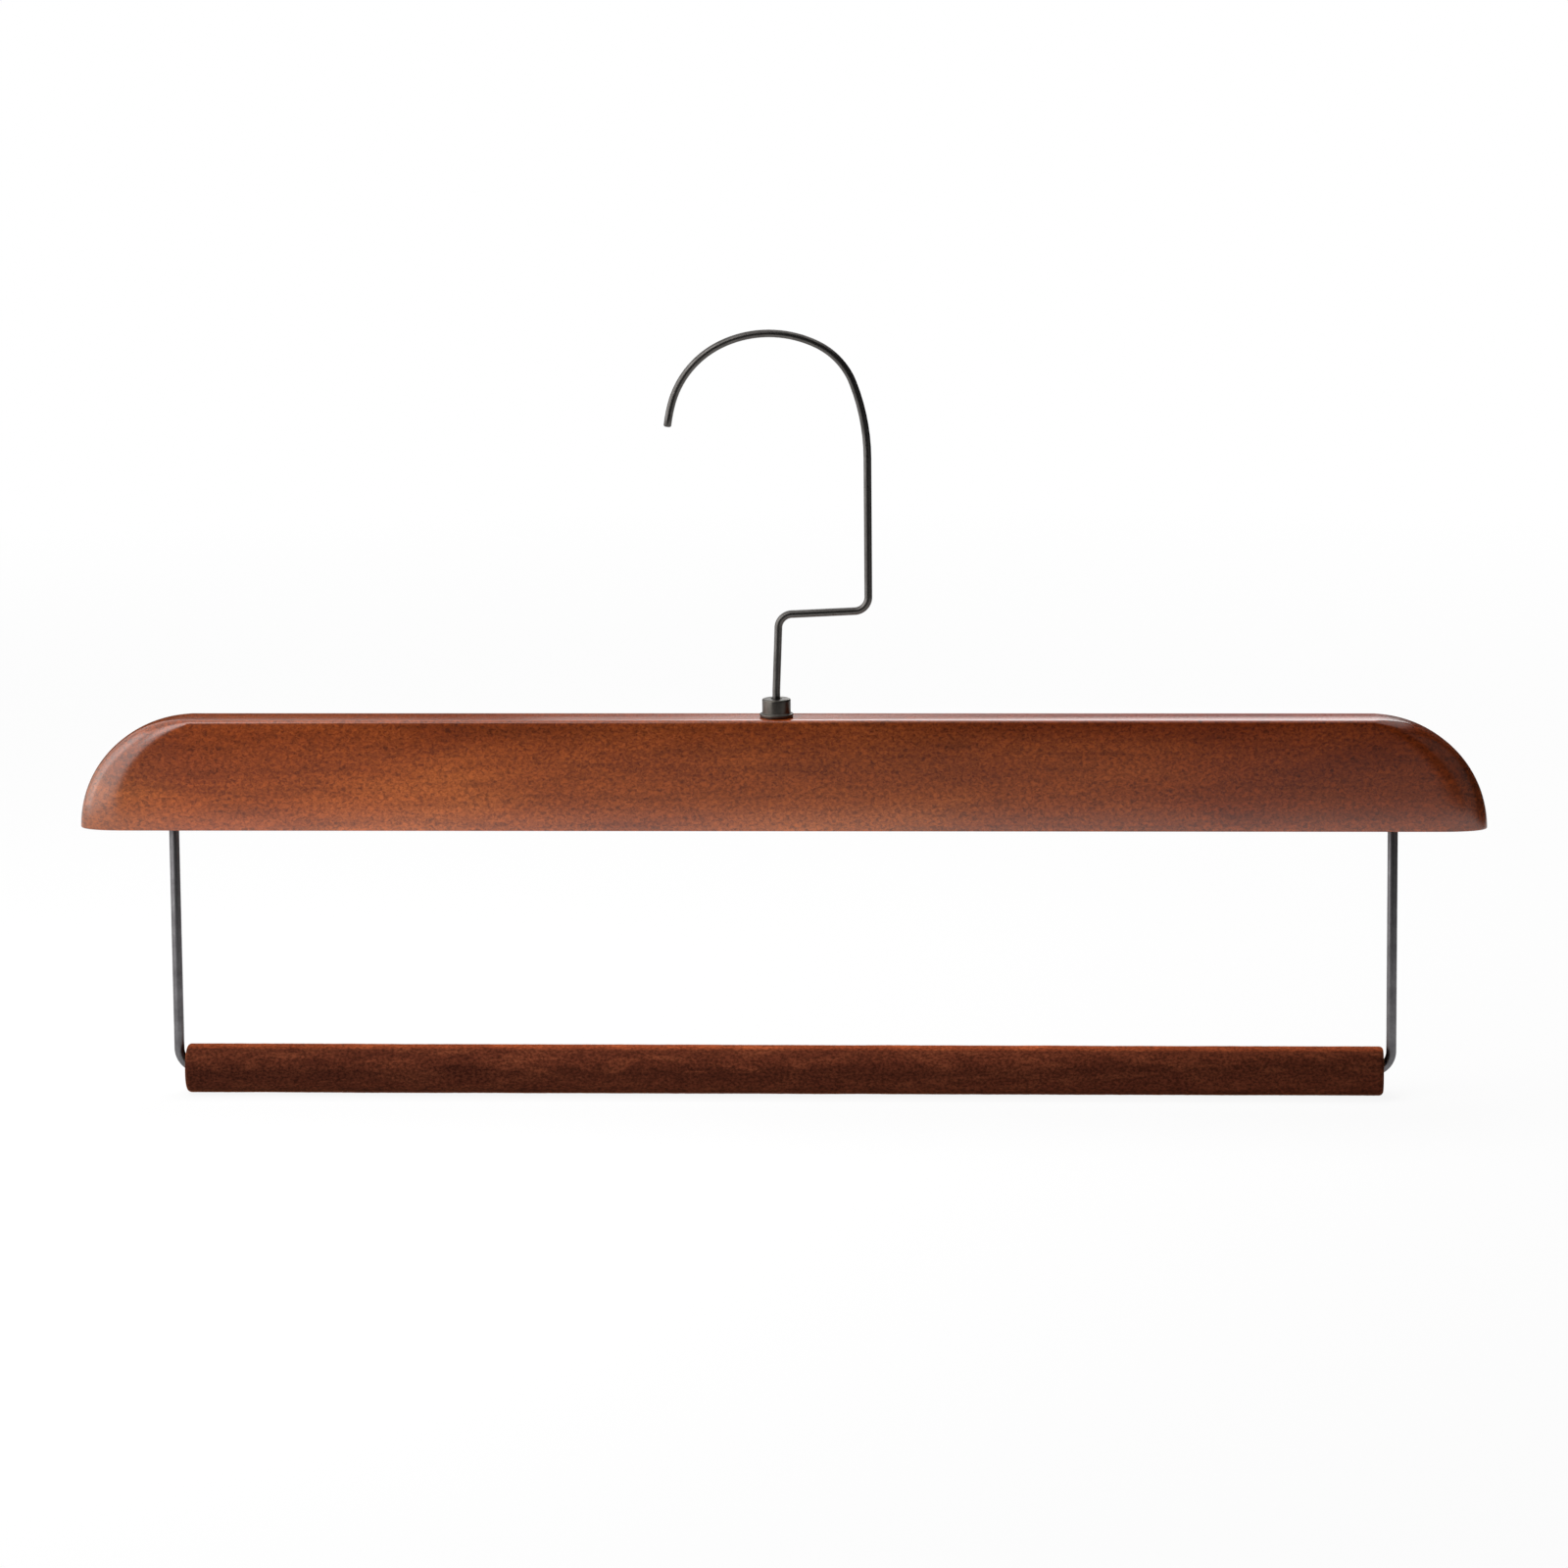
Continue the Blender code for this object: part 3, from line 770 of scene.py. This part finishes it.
def drill(bar, name, x, mouth, depth, radius, upward):
    """A cutter for a blind hole with a drill point, and the cut that it makes in the bar."""
    point = radius * math.tan(math.radians(drill_angle))
    sign = 1 if upward else -1
    profile = [(0, -sign * drill_overrun), (radius, -sign * drill_overrun), (radius, sign * depth),
               (0, sign * (depth + point))]
    shape = turned(profile, drill_sides)
    bmesh.ops.recalc_face_normals(shape, faces=shape.faces)
    bmesh.ops.translate(shape, verts=shape.verts, vec=bar_middle + Vector((x, 0, mouth)))
    mesh = bpy.data.meshes.new(name)
    shape.to_mesh(mesh)
    shape.free()
    cutter = bpy.data.objects.new(name, mesh)
    bpy.context.collection.objects.link(cutter)
    boolean = bar.modifiers.new(name, "BOOLEAN")
    boolean.operation = "DIFFERENCE"
    boolean.solver = "EXACT"
    boolean.object = cutter
    return cutter


def keep_modifiers(piece):
    """Makes what the modifiers show the piece's own mesh."""
    bpy.context.view_layer.update()
    evaluated = piece.evaluated_get(bpy.context.evaluated_depsgraph_get())
    mesh = bpy.data.meshes.new_from_object(evaluated)
    piece.modifiers.clear()
    piece.data = mesh
    mesh.name = piece.name


def add_bar(surface):
    """The blank with three blind holes, for the ferrule's shank and the two legs."""
    bar = finished_piece("bar", bar_blank(), surface, "hanger", "top_bar")
    ferrule_depth = -hook_foot + drill_relief
    leg_depth = leg_seat_depth + drill_relief
    leg_drill_radius = leg_radius + leg_drill_gap
    cutters = [
        drill(bar, "ferrule_drill", stem_offset, 0, ferrule_depth, ferrule_drill_radius, upward=False),
        drill(bar, "left_leg_drill", -leg_x, -bar_height, leg_depth, leg_drill_radius, upward=True),
        drill(bar, "right_leg_drill", leg_x, -bar_height, leg_depth, leg_drill_radius, upward=True)]
    keep_modifiers(bar)
    for cutter in cutters:
        bpy.data.objects.remove(cutter, do_unlink=True)
    bar.data.set_sharp_from_angle(angle=math.radians(sharp_edge))
    return bar


def add_dowel(surface):
    """The wooden core, drilled and countersunk at both ends for the legs' pins."""
    inside = rail_half - velvet_thickness - seat_gap
    bore_end = leg_x - pin_reach - drill_relief
    point = pin_bore_radius * math.tan(math.radians(drill_angle))
    half = [(0, bore_end - point), (pin_bore_radius, bore_end),
            (pin_bore_radius, inside - countersink_depth), (rail_mouth_radius, inside),
            (rail_radius - velvet_thickness - seat_gap, inside)]
    profile = half + [(radius, -height) for radius, height in reversed(half)]
    shape = turned(profile, along_x=True)
    return finished_piece("dowel", shape, surface, "rail", "rail_dowel",
                          move=bar_middle - Vector((0, 0, rail_drop)))


def add_velvet(surface):
    """The cover turned in over the rail's ends, with the pile's small unevenness all over."""
    inside = rail_half - velvet_thickness
    straight = rail_half - rail_end_round
    turned_in = quarter((rail_radius - rail_end_round, straight), rail_end_round, 90, 0, velvet_end_steps)
    half = [(rail_mouth_radius, inside), (rail_mouth_radius, rail_half - velvet_mouth_edge),
            (rail_mouth_radius + velvet_mouth_edge, rail_half)] + turned_in
    rows = math.ceil(2 * straight / velvet_pitch)
    barrel = [(rail_radius, straight - 2 * straight * i / rows) for i in range(1, rows)]
    lining = rail_radius - velvet_thickness
    profile = half + barrel + [(radius, -height) for radius, height in reversed(half)]
    profile += [(lining, -inside), (lining, inside)]
    shape = turned(profile, velvet_steps, along_x=True)
    shape.normal_update()
    skin = lining + velvet_thickness / 4
    for vertex in shape.verts:
        if math.hypot(vertex.co.y, vertex.co.z) > skin:
            fine = noise.fractal(vertex.co * pile_fine_waves, pile_fall_off, pile_layer_ratio, pile_layers)
            broad = noise.noise(vertex.co * pile_broad_waves)
            vertex.co += vertex.normal * (pile_fine * fine + pile_broad * broad)
    return finished_piece("velvet", shape, surface, "rail", "rail_velvet",
                          move=bar_middle - Vector((0, 0, rail_drop)), sharp_angle=velvet_sharp_edge)


def add_lamps():
    """Soft light from above and the left, and gleams for the lacquer's ends, faces and top."""
    left_part = (-0.12, 0, -0.12)
    add_softbox("overhead_softbox", (-0.15, 0.12, 0.6), (-0.05, 0, -0.12), (1.0, 0.45), 8.1, glossy=False)
    add_softbox("left_fill", (-0.62, -0.34, 0.05), left_part, (0.8, 0.6), 3.1, glossy=False)
    add_softbox("left_shine", (-0.59, -0.33, 0.10), left_part, (0.8, 0.7), 1.9, diffuse=False)
    add_softbox("rim_shine", (-0.95, 0.02, 0.20), (-0.19, 0, -0.12), (0.6, 0.8), 2.3, diffuse=False)
    add_softbox("right_shine", (0.55, -0.15, 0.0), (0.19, 0, -0.12), (0.5, 0.5), 0.1, diffuse=False)
    add_softbox("key_softbox", (-0.27, -0.33, 0.22), (-0.22, 0, -0.14), (0.4, 0.4), 0.95)
    add_softbox("rear_softbox", (0.32, 1.2, 0.37), (0.05, 0, -0.1), (0.9, 0.5), 2.2)


def add_screens():
    """Dark screens in front, at the right and behind, lower where the top's bright strip needs light."""
    rear = 0.9
    add_dark_screen("tall_screen", [(-0.28, -0.36), (0.6, -0.42), (0.6, rear), (0.34, rear)], 0.9)
    add_dark_screen("low_screen", [(0.34, rear), (-0.15, rear)], 0.305)
    add_dark_screen("left_screen", [(-0.15, rear), (-0.9, rear)], 0.40)


bpy.context.scene.view_settings.view_transform = "Standard"
add_camera()
add_world()
add_floor()
add_lamps()
add_screens()

wood = stained_beech()
hook_plating = dark_plating("hook_plating", (0.075, 0.070, 0.066), (0.135, 0.127, 0.120), 0.32)
leg_plating = dark_plating("leg_plating", (0.105, 0.100, 0.104), (0.170, 0.164, 0.170), 0.36)
ferrule_plating = dark_plating("ferrule_plating", (0.075, 0.068, 0.060), (0.150, 0.138, 0.122), 0.34)

add_bar(wood)
add_hook(hook_plating)
add_ferrule(ferrule_plating)
add_leg("left_leg", -1, leg_plating, "left_leg_wire")
add_leg("right_leg", 1, leg_plating, "right_leg_wire")
add_dowel(bare_beech())
add_velvet(brown_velvet())
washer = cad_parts["swivel_washer"]
washer.data.materials.clear()
washer.data.materials.append(plain_steel())
